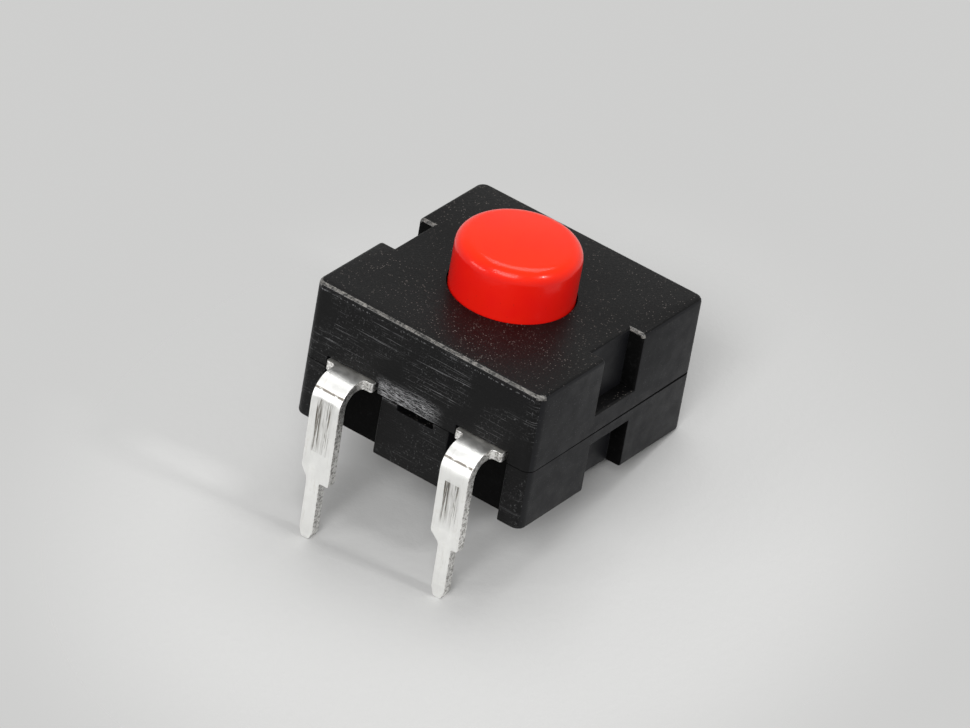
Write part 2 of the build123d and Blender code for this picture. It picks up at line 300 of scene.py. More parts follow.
# %% The cover, cut and eased
cover = piece_from(block((-HALF_X, -HALF_Y, PART_Z), (HALF_X, HALF_Y, cover_high.z),
                         CORNER, TOP_RIM), "cover_shell")
carve(cover, grooves(COVER_STOP, cover_high.z + PAST))
for sign in (-1, 1):
    groove_floor_x = sign * (HALF_X - GROOVE_DEPTH - ROUND_MARGIN)
    near_x, far_x = sorted((groove_floor_x, sign * (HALF_X + ROUND_MARGIN)))
    ease_zone(cover, (near_x, -GROOVE_HALF - ROUND_MARGIN, COVER_STOP - ROUND_MARGIN),
              (far_x, GROOVE_HALF + ROUND_MARGIN, cover_high.z + ROUND_MARGIN), GROOVE_ROUND)
carve(cover, [hollow(PART_Z - PAST, CEILING_Z)])
carve(cover, [drum(SLEEVE_R + SLEEVE_WALL, SLEEVE_END_Z, CEILING_Z + SUNK)], "UNION")
carve(cover, [drum(SLEEVE_R, SLEEVE_END_Z - PAST, CEILING_Z)])
carve(cover, [sleeve_rib(math.radians(45 + 90 * i)) for i in range(4)], "UNION")
carve(cover, [drum(HOLE_R, CEILING_Z - PAST, cover_high.z + PAST, HOLE_STEPS)])
carve(cover, mirrored((STRIP_X - NOTCH_HALF, -HALF_Y - PAST, PART_Z - PAST),
                      (STRIP_X + NOTCH_HALF, -HALF_Y + FRONT_WALL + PAST / 2,
                       PART_Z + SHEET + NOTCH_ABOVE)))
carve(cover, [open_seam()])
ease_edges(cover, COVER_EASE)

# %% The base, with the post that centres the return spring
POST_R, POST_HEIGHT, POST_SUNK = 0.45, 0.6, 0.1
base = piece_from(block((-HALF_X, -HALF_Y, 0), (HALF_X, HALF_Y, PART_Z),
                        CORNER, FOOT_RIM, rim_up=False), "base_shell")
carve(base, [hollow(FLOOR_Z, PART_Z + PAST)])
carve(base, grooves(-PAST, BASE_STOP))
carve(base, mirrored((RECESS_X - RECESS_HALF, -HALF_Y - PAST, -PAST),
                     (RECESS_X + RECESS_HALF, -HALF_Y + RECESS_DEPTH, PART_Z + PAST)))
carve(base, [block((-VENT_HALF, -HALF_Y - PAST, PART_Z - VENT_HEIGHT),
                   (VENT_HALF, -HALF_Y + VENT_DEPTH, PART_Z + PAST))])
carve(base, [drum(POST_R, FLOOR_Z - POST_SUNK, FLOOR_Z + POST_HEIGHT)], "UNION")
ease_edges(base, BASE_EASE)

# %% [markdown]
# ## The button
# The red button is a round moulding with a slightly crowned top and a soft rim. It is turned from
# one outline with a full spin. The four guide fins are drawn out of its lower band, and the crown
# of teeth that steps the rotor is pressed into its underside by moving the ring's own points.

# %% Button outline and spin
RIM_R, CROWN = 0.65, 0.12
CROWN_SHARES = (0.0, 0.2, 0.4, 0.6, 0.8, 0.95)
BORE_R, BORE_TOP_Z = 1.25, button_high.z - 1.6
SIDE_Z = 7.4                          # a ring halfway up the side
ROOT_Z, FIN_TOP_Z = CEILING_Z - 0.65, CEILING_Z - 0.03
TOOTH_R0, TOOTH_R1 = 1.5, BUTTON_R - 0.30
ROUND_STEPS, SPIN_STEPS = 8, 96


def button_outline():
    """Radius and height from the middle of the top, down the side, to the roof of the bore."""
    flat_r = BUTTON_R - RIM_R
    rim_z = button_high.z - CROWN - RIM_R
    points = [(flat_r * share, button_high.z - CROWN * share ** 2) for share in CROWN_SHARES]
    for step in range(ROUND_STEPS + 1):
        angle = math.pi / 2 * (1 - step / ROUND_STEPS)
        points.append((flat_r + RIM_R * math.cos(angle), rim_z + RIM_R * math.sin(angle)))
    points += [(BUTTON_R, z) for z in (SIDE_Z, cover_high.z, FIN_TOP_Z, ROOT_Z)]
    points += [(TOOTH_R1, ROOT_Z), (TOOTH_R0, ROOT_Z), (BORE_R, ROOT_Z)]
    return points + [(BORE_R, BORE_TOP_Z), (0.0, BORE_TOP_Z)]


button_bm = bmesh.new()
chain = [button_bm.verts.new((r, 0, z)) for r, z in button_outline()]
edges = [button_bm.edges.new(pair) for pair in zip(chain, chain[1:])]
bmesh.ops.spin(button_bm, geom=chain + edges, cent=(0, 0, 0), axis=(0, 0, 1), dvec=(0, 0, 0),
               angle=math.tau, steps=SPIN_STEPS, use_merge=True, use_duplicate=False)
bmesh.ops.remove_doubles(button_bm, verts=button_bm.verts, dist=NEAR)
print("the turned button has", len(button_bm.faces), "faces")

# %% Fins and teeth
FIN_R, FIN_HALF_ANGLE = SLEEVE_R - 0.10, 32
TEETH, TOOTH_HEIGHT = 8, 0.35
BAND = 0.1                            # how near the wall a face's middle counts as on it


def turn_of(point):
    """The angle round the button's axis, in degrees."""
    return math.degrees(math.atan2(point.y, point.x))


def in_fin(face):
    """Whether a face of the lower wall lies where one of the four fins stands."""
    middle = face.calc_center_median()
    off = (turn_of(middle) + 45) % 90 - 45
    on_wall = ROOT_Z < middle.z < FIN_TOP_Z and middle.xy.length > BUTTON_R - BAND
    return on_wall and abs(off) < FIN_HALF_ANGLE


fin_faces = [f for f in button_bm.faces if in_fin(f)]
drawn = bmesh.ops.extrude_face_region(button_bm, geom=fin_faces)
bmesh.ops.delete(button_bm, geom=fin_faces, context="FACES")
for vert in [v for v in drawn["geom"] if isinstance(v, bmesh.types.BMVert)]:
    vert.co.xy = vert.co.xy.normalized() * FIN_R
for vert in button_bm.verts:
    on_ring = TOOTH_R0 - NEAR < vert.co.xy.length < TOOTH_R1 + NEAR
    if on_ring and abs(vert.co.z - ROOT_Z) < NEAR:
        phase = (turn_of(vert.co) % (360 / TEETH)) / (360 / TEETH)
        vert.co.z -= TOOTH_HEIGHT * 2 * abs(phase - 0.5)
button = piece_from(button_bm, "button_cap")
button.data.shade_smooth()
ease_edges(button, BUTTON_EASE, angle=50)
print("the button has four fins and", TEETH, "teeth")

# %% [markdown]
# ## The terminals
# Each terminal is stamped flat and then bent, and that is also the easiest way to model it. The
# blank is drawn flat: a wide ear that the housing grips, a shank, a narrow solder pin with a blunt
# point. Cuts across the blank give it places to bend, a shallow coined panel stiffens the shank,
# and one function rolls every point of the blank along the strip's path.

# %% Strip path, as straight runs and bends
LEG_LEAN = math.radians(2.0)
LEG_BEND_R = 0.65 + SHEET / 2         # inner radius of the bend, to the middle of the sheet
ARM_BEND_R = 0.28 + SHEET / 2
LEG_STANDOFF, STEP_GAP = 1.75, 0.28
STRIP_Z = PART_Z + SHEET / 2
LEG_Y = -HALF_Y - LEG_STANDOFF + SHEET / 2
STEP_Y = -HALF_Y + FRONT_WALL + SHEET / 2 + STEP_GAP
ARM_Z = FLOOR_Z + SHEET / 2
ARM_END_Y = left_high.y
LEG_SET_BACK = LEG_BEND_R * math.tan((math.pi / 2 + LEG_LEAN) / 2)


def strip_path(tip_z):
    """Runs (length, bend that follows) from the tip of the pin to the end of the contact arm."""
    leg = (STRIP_Z - tip_z) / math.cos(LEG_LEAN) - LEG_SET_BACK
    across = STEP_Y - LEG_Y - LEG_SET_BACK - ARM_BEND_R
    down = STRIP_Z - ARM_Z - 2 * ARM_BEND_R
    arm = ARM_END_Y - STEP_Y - ARM_BEND_R
    quarter = math.pi / 2
    return [(leg, LEG_BEND_R, -(quarter + LEG_LEAN)), (across, ARM_BEND_R, -quarter),
            (down, ARM_BEND_R, quarter), (arm, 0.0, 0.0)]


def rolled(point, tip_z):
    """Where a point of the flat blank goes: x across, y along the strip, z off its middle."""
    place = Vector((LEG_Y + (STRIP_Z - tip_z) * math.tan(LEG_LEAN), tip_z))
    heading = Vector((-math.sin(LEG_LEAN), math.cos(LEG_LEAN)))
    left = point.y
    for run, radius, bend in strip_path(tip_z):
        step = min(left, run)
        place = place + heading * step
        left -= step
        arc = radius * abs(bend)
        if left <= 1e-9:
            break
        share = min(left / arc, 1.0) if arc else 0.0
        side = math.copysign(1.0, bend)
        normal = Vector((-heading.y, heading.x)) * side
        turn = Matrix.Rotation(bend * share, 2)
        centre = place + normal * radius
        place = centre + turn @ (place - centre)
        heading = turn @ heading
        left -= arc * share
    normal = Vector((-heading.y, heading.x))
    place = place + normal * point.z
    return Vector((point.x, place.x, place.y))


# %% [markdown]
# ## The flat blank
# The outline goes up the blank's right side and down its left one. One shoulder of the shank is
# square and the other one slopes, as the die left them, and the ear's inner corners are filleted,
# because a stamped strip tears at a sharp one. Quarter circles come from a formula, so the
# outline has no more points than its shape needs.

# %% The flat blank
LEG_HALF, PIN_HALF, TIP_HALF, ARM_HALF = 0.75, 0.35, 0.18, 0.75
PIN_SHIFT = 0.07
EAR_REACH = 0.24
EAR_ROUND, EAR_FILLET, SHOULDER_ROUND = 0.12, 0.20, 0.12
BREAK = 0.05                          # how far a small corner is cut back
TIP_START, TIP_EDGE, TIP_LENGTH = 0.01, 0.04, 0.45
SLOPE = 0.50                          # drop of the sloped shoulder; the other one is square
SLOPE_EASE = 0.06                     # how far its two soft corners reach along the strip
SLOPE_TOP_IN, SLOPE_FOOT_UP = 0.04, 0.08
SHANK_END_Z = {"left": -1.10, "right": -0.82}
EDGE_ROUND = 0.07


def arc(centre, radius, start, end, steps=5):
    """Points on a quarter circle of the outline, angles in degrees."""
    angles = [math.radians(start + (end - start) * step / steps) for step in range(steps + 1)]
    return [(centre[0] + radius * math.cos(a), centre[1] + radius * math.sin(a)) for a in angles]


def strip_outline(side, tip_z, shift):
    """The blank's outline, up the right side and down the left one, as (across, along)."""
    path = strip_path(tip_z)
    leg, leg_radius, leg_turn = path[0]
    housing_start = leg + leg_radius * abs(leg_turn) - HALF_Y - LEG_Y - LEG_SET_BACK
    ear, ear_end = housing_start - EAR_REACH, housing_start + FRONT_WALL
    total = sum(run + radius * abs(turn) for run, radius, turn in path)
    shank = (SHANK_END_Z[side] - tip_z) / math.cos(LEG_LEAN)
    ledge = shank - SLOPE
    ear_half = EAR_WIDTH / 2
    right = [(shift + TIP_HALF, TIP_EDGE), (shift + TIP_HALF + BREAK, TIP_EDGE + BREAK),
             (shift + PIN_HALF, TIP_LENGTH), (shift + PIN_HALF, ledge - BREAK),
             (shift + PIN_HALF + BREAK, ledge)]
    right += arc((LEG_HALF - SHOULDER_ROUND, ledge + SHOULDER_ROUND), SHOULDER_ROUND, -90, 0)
    right += arc((LEG_HALF + EAR_FILLET, ear - EAR_FILLET), EAR_FILLET, 180, 90)
    right += arc((ear_half - EAR_ROUND, ear + EAR_ROUND), EAR_ROUND, -90, 0)
    right += [(ear_half, ear_end), (ARM_HALF, ear_end), (ARM_HALF, total)]
    left = [(-ARM_HALF, total), (-ARM_HALF, ear_end), (-ear_half, ear_end)]
    left += arc((-ear_half + EAR_ROUND, ear + EAR_ROUND), EAR_ROUND, 180, 270)
    left += arc((-LEG_HALF - EAR_FILLET, ear - EAR_FILLET), EAR_FILLET, 90, 0)
    left += [(-LEG_HALF, shank + SLOPE_EASE), (-LEG_HALF + SLOPE_TOP_IN, shank - SLOPE_EASE),
             (shift - PIN_HALF - BREAK, ledge + SLOPE_FOOT_UP),
             (shift - PIN_HALF, ledge - SLOPE_EASE), (shift - PIN_HALF, TIP_LENGTH),
             (shift - TIP_HALF - BREAK, TIP_EDGE + BREAK), (shift - TIP_HALF, TIP_EDGE)]
    return [(shift, TIP_START)] + right + left


def slice_blank(bm, point, normal):
    """New edges where a plane crosses the blank."""
    bmesh.ops.bisect_plane(bm, geom=bm.verts[:] + bm.edges[:] + bm.faces[:], dist=1e-5,
                           plane_co=point, plane_no=normal)


def bend_stations(tip_z, steps=14):
    """Distances along the strip where it has to be able to bend."""
    stations, start = [], 0.0
    for run, radius, bend in strip_path(tip_z):
        start += run
        arc_length = radius * abs(bend)
        if arc_length:
            stations += [start + arc_length * step / steps for step in range(steps + 1)]
        start += arc_length
    return stations


# %% [markdown]
# ## The coined panel
# A punch pressed a shallow panel into the outer face of each shank: two grooves with a rib between
# them. The blank is sliced along the panel's borders, and the points inside them are pushed in.
# The panel's faces get their own material, because the punch left dark drag marks there.

# %% The coined panel
FLAT, SHEARED, COINED = range(3)      # the strip's three finishes
PANEL_Z = {"left": (-0.15, 2.50), "right": (-0.50, 1.90)}
PANEL_HALF, PANEL_RIB, PANEL_EDGE = 0.39, 0.13, 0.05
PANEL_DEPTH = 0.055
RIB_DEPTH = PANEL_DEPTH / 3
PANEL_RAMP = 4 * PANEL_EDGE           # the punch ran out gently at the lower end


def coin_panel(bm, tip_z, low_z, high_z):
    """Two shallow grooves with a rib between them, pressed into the outer face of the shank."""
    low, high = ((z - tip_z) / math.cos(LEG_LEAN) for z in (low_z, high_z))
    deep_low, deep_high = low + PANEL_RAMP, high - PANEL_EDGE
    deep_in, deep_out = PANEL_RIB + PANEL_EDGE, PANEL_HALF - PANEL_EDGE
    for y in (low, deep_low, deep_high, high):
        slice_blank(bm, (0, y, 0), (0, 1, 0))
    for x in (PANEL_HALF, deep_out, deep_in, PANEL_RIB):
        slice_blank(bm, (x, 0, 0), (1, 0, 0))
        slice_blank(bm, (-x, 0, 0), (1, 0, 0))
    for vert in bm.verts:
        x, y, z = abs(vert.co.x), vert.co.y, vert.co.z
        if z < SHEET / 2 - NEAR or not deep_low - NEAR < y < deep_high + NEAR:
            continue
        if deep_in - NEAR < x < deep_out + NEAR:
            vert.co.z -= PANEL_DEPTH
        elif x < PANEL_RIB + NEAR:
            vert.co.z -= RIB_DEPTH
    for face in bm.faces:
        middle = face.calc_center_median()
        if low < middle.y < high and abs(middle.x) < PANEL_HALF and middle.z > SHEET / 4:
            face.material_index = COINED


# %% Two terminals, bent from their blanks
def lay_map(bm, start):
    """The strip's own map: millimetres across it, and along it from where the leg's bend begins."""
    grain = bm.loops.layers.uv.new("strip")
    for face in bm.faces:
        for loop in face.loops:
            loop[grain].uv = (loop.vert.co.x, loop.vert.co.y - start)


def terminal(side, sign, tip_z):
    """One terminal: outline, thickness, coined panel, then the bends and rounded edges."""
    bm = prism(strip_outline(side, tip_z, sign * PIN_SHIFT), -SHEET / 2, SHEET / 2)
    bmesh.ops.recalc_face_normals(bm, faces=bm.faces)
    for face in bm.faces:
        face.material_index = FLAT if abs(face.normal.z) > 0.5 else SHEARED
    coin_panel(bm, tip_z, *PANEL_Z[side])
    for station in bend_stations(tip_z):
        slice_blank(bm, (0, station, 0), (0, 1, 0))
    lay_map(bm, strip_path(tip_z)[0][0])
    for vert in bm.verts:
        vert.co = rolled(vert.co, tip_z)
        vert.co.x += sign * STRIP_X
    piece = piece_from(bm, f"terminal_strip_{side}")
    ease_edges(piece, EDGE_ROUND, segments=3, angle=60)
    return piece


terminals = {"left": terminal("left", -1, left_low.z), "right": terminal("right", 1, right_low.z)}
print("the strip bends at", len(bend_stations(left_low.z)), "stations")

# %% [markdown]
# ## The two coil springs
# The springs are hidden inside, but the switch can be looked at with the button pressed, so they
# are real coils: a ring of wire, spun upwards.

# %% Coils
WIRE, WIRE_SIDES = 0.20, 10


def coil(name, node, turns, steps=28):
    """Round wire wound between the lowest and highest point of the node's box."""
    low, high = box_mm(node)
    radius = (high.x - low.x - WIRE) / 2
    rise = high.z - low.z - WIRE
    bm = bmesh.new()
    made = bmesh.ops.create_circle(bm, radius=WIRE / 2, segments=WIRE_SIDES)
    bmesh.ops.rotate(bm, matrix=Matrix.Rotation(math.pi / 2, 3, "X"), verts=made["verts"])
    bmesh.ops.translate(bm, vec=(radius, 0, low.z + WIRE / 2), verts=made["verts"])
    bmesh.ops.spin(bm, geom=bm.verts[:] + bm.edges[:], cent=(0, 0, 0), axis=(0, 0, 1),
                   dvec=(0, 0, rise / (turns * steps)), angle=math.tau * turns,
                   steps=turns * steps, use_merge=False, use_duplicate=False)
    bmesh.ops.holes_fill(bm, edges=[e for e in bm.edges if e.is_boundary], sides=0)
    piece = piece_from(bm, name)
    piece.data.shade_smooth()
    piece.data.set_sharp_from_angle(angle=math.radians(60))
    return piece


return_coil = coil("return_coil", "return_spring", 5)
contact_coil = coil("contact_coil", "contact_spring", 2)

# %% [markdown]
# ## A small language for materials
# Materials are arithmetic on numbers that change over the surface. Wrapping each socket in a small
# class lets that arithmetic be written as plain expressions, and every other node comes from one
# method that takes its type, its settings and its inputs.

# %% Sockets that add and multiply
class Value:
    """A number that varies over the surface. Arithmetic on it adds Math nodes."""

    def __init__(self, shop, socket):
        self.shop, self.socket = shop, socket

    def math(self, operation, *values):
        return self.shop.node("ShaderNodeMath", {"operation": operation},
                              dict(enumerate(values)))

    def __add__(self, other):
        return self.math("ADD", self, other)

    def __sub__(self, other):
        return self.math("SUBTRACT", self, other)

    def __rsub__(self, other):
        return self.math("SUBTRACT", other, self)

    def __mul__(self, other):
        return self.math("MULTIPLY", self, other)

    def __gt__(self, other):
        return self.math("GREATER_THAN", self, other)

    def __abs__(self):
        return self.math("ABSOLUTE", self)

    __radd__, __rmul__ = __add__, __mul__


class Shop:
    """One material and the nodes that make it."""

    def __init__(self, name):
        self.material = bpy.data.materials.new(name)
        self.material.use_nodes = True
        self.tree = self.material.node_tree
        self.tree.nodes.clear()
        place = self.node("ShaderNodeTexCoord", out="Object")
        self.mm = self.node("ShaderNodeVectorMath", {"operation": "SCALE"},
                            {0: place, "Scale": 1 / MM})

    def node(self, kind, settings=None, inputs=None, out=0):
        """Any node: its settings first, then the values or links of its sockets."""
        made = self.tree.nodes.new(kind)
        for name, value in (settings or {}).items():
            setattr(made, name, value)
        for name, value in (inputs or {}).items():
            if isinstance(value, Value):
                self.tree.links.new(value.socket, made.inputs[name])
            else:
                made.inputs[name].default_value = value
        return Value(self, made.outputs[out])

    def stretched(self, x=1.0, y=1.0, z=1.0, place=None):
        """Object coordinates in millimetres, stretched to shape a pattern."""
        return self.node("ShaderNodeVectorMath", {"operation": "MULTIPLY"},
                         {0: place or self.mm, 1: (x, y, z)})

    def noise(self, scale, detail=2.0, roughness=0.5, place=None, distortion=0.0):
        """A cloudy pattern, with its scale in patches per millimetre."""
        return self.node("ShaderNodeTexNoise", {"noise_dimensions": "3D"},
                         {"Vector": place or self.mm, "Scale": scale, "Detail": detail,
                          "Roughness": roughness, "Distortion": distortion})

    def ramp(self, value, low, high, start=0.0, end=1.0):
        """A smooth step from start to end while the value goes from low to high."""
        return self.node("ShaderNodeMapRange", {"interpolation_type": "SMOOTHSTEP"},
                         {0: value, 1: low, 2: high, 3: start, 4: end})

    def axis(self, name, place=None):
        """One coordinate, in millimetres."""
        return self.node("ShaderNodeSeparateXYZ", {}, {0: place or self.mm}, out=name)

    def specks(self, scale, share, size=0.35):
        """Small round dots: a share of the cells of a fine cell pattern."""
        cells = {"Vector": self.mm, "Scale": scale}
        near = self.node("ShaderNodeTexVoronoi", {}, cells, out="Distance")
        lot = self.node("ShaderNodeTexVoronoi", {}, cells, out="Color")
        pick = self.node("ShaderNodeSeparateColor", {}, {0: lot}, out=0)
        return self.ramp(near, size, size * 0.4) * (pick > 1 - share)

    def blend(self, factor, first, second):
        """A colour that goes from the first to the second as the factor goes from 0 to 1."""
        return self.node("ShaderNodeMix", {"data_type": "RGBA"},
                         {0: factor, 6: first, 7: second}, out=2)

    def bump(self, height, depth_mm):
        """A relief that is as deep as given where the height goes from 0 to 1."""
        return self.node("ShaderNodeBump", {}, {"Height": height, "Strength": 1.0,
                                                "Distance": depth_mm * MM}, out="Normal")

    def finish(self, **sockets):
        """The surface. Keyword names are the shader's socket names, with _ for a space."""
        named = {name.replace("_", " "): value for name, value in sockets.items()}
        shader = self.node("ShaderNodeBsdfPrincipled", {}, named, out="BSDF")
        output = self.tree.nodes.new("ShaderNodeOutputMaterial")
        self.tree.links.new(shader.socket, output.inputs["Surface"])
        return self.material


def colour(red, green, blue):
    """An opaque colour."""
    return (red, green, blue, 1.0)


def grey(level, tint=0.0):
    """A grey, with its blue raised by the tint's share."""
    return colour(level, level, level * (1 + tint))


# %% [markdown]
# ## Black plastic
# The housing is black throughout, but each side of it looks different. The top carries painted
# sparkle, pale specks in its colour that stand in for glints off the mould's texture, and more of
# them in a painted haze of reflected light in front of the button. One material could mix every
# finish by the way a face looks, but five short ones are easier to read and to change, and each
# face takes the one for its place.

# %% Top: grain, painted sparkle and a painted haze
HAZE_SPOT = (1.6, -4.6, 0.0)        # the middle of the painted haze of reflected light, seen from above


def grained_black():
    shop = Shop("black_grained_top")
    grain = shop.noise(9.0, 3.0, 0.6)
    fine = shop.noise(24.0, 1.0)
    faint = shop.specks(11.0, 0.40)
    glint = shop.specks(13.5, 0.15, 0.42)
    cloud = shop.noise(0.8, 3.0, 0.6)
    strong = shop.ramp(cloud, 0.40, 0.60, 0.25, 1.0)
    away = shop.node("ShaderNodeVectorMath", {"operation": "DISTANCE"},
                     {0: shop.stretched(1.0, 1.0, 0.0), 1: HAZE_SPOT}, out="Value")
    painted_haze = shop.ramp(away, 3.4, 0.4)
    # pale specks painted into the colour: sparkle everywhere, and more of it in the painted haze of
    # reflected light
    marks = faint * (painted_haze * 0.08 + 0.03) + glint * (strong + painted_haze * 0.6) * 0.36
    tone = shop.blend(marks, grey(0.0035, 0.04), colour(0.38, 0.34, 0.31))
    rough = shop.ramp(grain, 0.3, 0.7, 0.30, 0.44)
    return shop.finish(Base_Color=tone, Roughness=rough, Specular_IOR_Level=0.12,
                       Normal=shop.bump(grain * 0.5 + fine * 0.5, 0.012))


# %% [markdown]
# ## The scratched front
# The front has long scratches in patches, pale crumbs between them, a rubbed stretch next to the
# parting line and a painted highlight in dashes just under the top rim, where the rounded rim
# catches the light. Every mark is a stretched noise cut off by a ramp, and it is kept in its place
# by ramps on height and side.

# %% Front: scratches, crumbs, a rubbed stretch and a painted highlight in dashes
def scratched_black():
    shop = Shop("black_scratched_front")
    long_marks = shop.noise(1.0, 4.0, 0.65, shop.stretched(0.28, 1.0, 16.0), 0.30)
    slant_marks = shop.noise(1.0, 4.0, 0.7, shop.stretched(2.4, 1.0, 24.0), 1.4)
    patch = shop.noise(0.55, 3.0, 0.6)
    height, side = shop.axis("Z"), shop.axis("X")
    band = shop.ramp(height, PART_Z - 0.25, PART_Z + 0.10) * shop.ramp(height, 4.0, 3.4)
    worn = band * shop.ramp(side, 1.5, 0.3) * shop.ramp(side, -2.3, -1.8)
    rubbed = worn * shop.ramp(slant_marks, 0.47, 0.58)
    lines = shop.ramp(long_marks, 0.57, 0.66) * shop.ramp(patch, 0.46, 0.58)
    lines = lines * shop.ramp(height, PART_Z - 0.3, PART_Z + 0.3, 0.3, 1.0)
    crumbs = shop.ramp(shop.noise(9.0, 4.0, 0.75), 0.56, 0.70) * shop.ramp(patch, 0.42, 0.56)
    # a painted highlight: pale dashes just under the top rim, where the rounded rim catches the
    # light
    rim_gap = abs(height - (cover_high.z - TOP_RIM - 0.10))
    dashes = shop.ramp(shop.noise(1.0, 3.0, 0.8, shop.stretched(6.0, 1.0, 2.0)), 0.52, 0.60)
    rim_highlight_dashes = shop.ramp(rim_gap, 0.045, 0.015) * dashes
    marks = rubbed * 0.85 + lines * 0.30 + crumbs * 0.27 + rim_highlight_dashes * 0.38
    tone = shop.blend(marks, grey(0.0045, 0.05), colour(0.42, 0.42, 0.43))
    rough = shop.ramp(long_marks, 0.35, 0.7, 0.34, 0.52)
    return shop.finish(Base_Color=tone, Roughness=rough, Specular_IOR_Level=0.14,
                       Normal=shop.bump(long_marks * 0.7 + slant_marks * 0.3, 0.016))


# %% [markdown]
# ## Sides, worn rim and crevice
# The other sides are smooth satin with a few painted glints, pale specks in their colour. The
# front's upper rim carries a painted highlight, pale specks that run together into a line, and the
# crevice between the mouldings carries painted shade: it is darker and duller than the rest, so
# that the seam reads as a fine black line.

# %% Sides, painted rim highlight and painted crevice shade
def satin_black():
    shop = Shop("black_satin_sides")
    cloud = shop.noise(1.3, 3.0, 0.55)
    grain = shop.noise(16.0, 2.0)
    glint = shop.specks(14.0, 0.05)
    scuff = shop.noise(1.0, 3.0, 0.6, shop.stretched(1.0, 1.1, 9.0), 0.8)
    # glint: pale specks painted into the colour as glints; scuff is real wear
    marks = shop.ramp(scuff, 0.64, 0.74) * 0.05 + glint * 0.14
    tone = shop.blend(marks, colour(0.0060, 0.0061, 0.0074), colour(0.30, 0.30, 0.31))
    rough = shop.ramp(cloud, 0.3, 0.7, 0.42, 0.54)
    return shop.finish(Base_Color=tone, Roughness=rough, Specular_IOR_Level=0.20,
                       Normal=shop.bump(grain * 0.6 + scuff * 0.4, 0.006))


def rim_highlight_black():
    """A painted highlight on the front rim: pale specks that run together into a line."""
    shop = Shop("black_rim_painted_highlight")
    rim_speckle = shop.noise(8.0, 4.0, 0.75, shop.stretched(0.7, 1.0, 1.0))
    patch = shop.noise(0.8, 2.0)
    share = shop.ramp(rim_speckle, 0.35, 0.68) * shop.ramp(patch, 0.3, 0.6, 0.50, 0.85)
    tone = shop.blend(share, grey(0.014), colour(0.30, 0.285, 0.265))
    return shop.finish(Base_Color=tone, Roughness=shop.ramp(rim_speckle, 0.3, 0.7, 0.26, 0.40),
                       Specular_IOR_Level=0.5, Normal=shop.bump(rim_speckle, 0.014))


def crevice_shade_black():
    """Painted shade on the two bevels of the parting line and the back of the recesses, where light
    hardly gets.
    """
    shop = Shop("black_crevice_painted_shade")
    dust = shop.noise(6.0, 3.0, 0.6)
    tone = shop.blend(shop.ramp(dust, 0.5, 0.75) * 0.03, grey(0.001), grey(0.20))
    return shop.finish(Base_Color=tone, Roughness=shop.ramp(dust, 0.3, 0.7, 0.7, 0.9),
                       Specular_IOR_Level=0.08, Normal=shop.bump(dust, 0.010))


# %% Each face takes its finish
blacks = [grained_black(), scratched_black(), satin_black(), rim_highlight_black(), crevice_shade_black()]
TOP, FRONT, SIDE, RIM, CREVICE = range(5)
SEAM_REACH = 0.06                     # bevels this near the parting line are in the crevice
STRAIGHT = 0.97                       # a face leans where no part of its normal is this long
FRONT_SKIN = 0.3                      # what lies further back than this is a recess, not the front


def black_for(centre, normal):
    """The finish for a face, from the way it looks and the place it has."""
    tilted = max(abs(v) for v in normal) < STRAIGHT
    # the parting line's bevels take the painted crevice shade
    if abs(centre.z - PART_Z) < SEAM_REACH and (tilted or abs(normal.z) > 0.9):
        return CREVICE
    # the front rim's bevel takes the painted rim highlight
    if tilted and normal.y < -0.2 and centre.z > cover_high.z - TOP_RIM:
        return RIM
    if normal.z > 0.7:
        return TOP
    if normal.y < -0.7:
        # the backs of the recesses take the painted crevice shade
        return FRONT if centre.y < -HALF_Y + FRONT_SKIN else CREVICE
    return SIDE


def dress_housing(piece):
    """Gives a moulding all five blacks, and each of its faces the right one."""
    for material in blacks:
        piece.data.materials.append(material)
    for face in piece.data.polygons:
        face.material_index = black_for(face.center, face.normal)


dress_housing(cover)
dress_housing(base)
leave_bench(cover, "housing", "housing_black", "cover")
leave_bench(base, "housing", "housing_black", "base")

# %% [markdown]
# ## Red plastic
# The button is a saturated, glossy red that turns towards orange on its crown, where light falls
# on it. Two close reds are blended by height, and the gloss is a thin coat over a softer surface,
# whose bump gives the highlight its slightly uneven edge.

# %% Button finish
def glossy_red():
    shop = Shop("red_glossy")
    cloud = shop.noise(0.6, 2.0)
    grain = shop.noise(9.0, 2.0)
    glint = shop.specks(12.0, 0.02)
    mottle = shop.noise(5.0, 3.0, 0.65)
    lit = shop.ramp(shop.axis("Z"), button_high.z - CROWN - RIM_R, button_high.z - CROWN)
    lit = lit * 0.8 + shop.ramp(cloud, 0.35, 0.65) * 0.2
    tone = shop.blend(lit, colour(0.93, 0.010, 0.0060), colour(0.98, 0.026, 0.0015))
    tone = shop.blend(glint * 0.4, tone, colour(0.35, 0.02, 0.01))
    rough = shop.ramp(grain, 0.3, 0.7, 0.17, 0.27)
    return shop.finish(Base_Color=tone, Roughness=rough, Specular_IOR_Level=0.20,
                       Coat_Weight=0.12, Coat_Roughness=0.06,
                       Normal=shop.bump(cloud * 0.6 + mottle * 0.3 + grain * 0.1, 0.010))


button.data.materials.append(glossy_red())
leave_bench(button, "button", "button_red", "button")

# %% [markdown]
# ## Tinned strip
# The terminals are plated before they are stamped: the faces are bright, with fine streaks along
# the strip, and the sheared edges are duller and show the tear of the die. The strip's own map
# carries the streaks round the bends.

# %% The flat faces
DIE_LINE = 0.56                       # how far round the bend the die's edge left its line


class StripShop(Shop):
    """A shop whose patterns lie along the strip: across and along, in millimetres."""

    def __init__(self, name):
        super().__init__(name)
        self.strip = self.node("ShaderNodeUVMap", {"uv_map": "strip"}, out="UV")
        self.along = self.axis("Y", self.strip)

    def streaks(self, across, along, seed):
        """Long marks. The seed moves the pattern, so that no two of them agree."""
        place = self.stretched(across, along, 1.0, self.strip)
        moved = self.node("ShaderNodeVectorMath", {"operation": "ADD"},
                          {0: place, 1: (seed, seed, seed)})
        return self.noise(1.0, 4.0, 0.65, moved, 0.15)


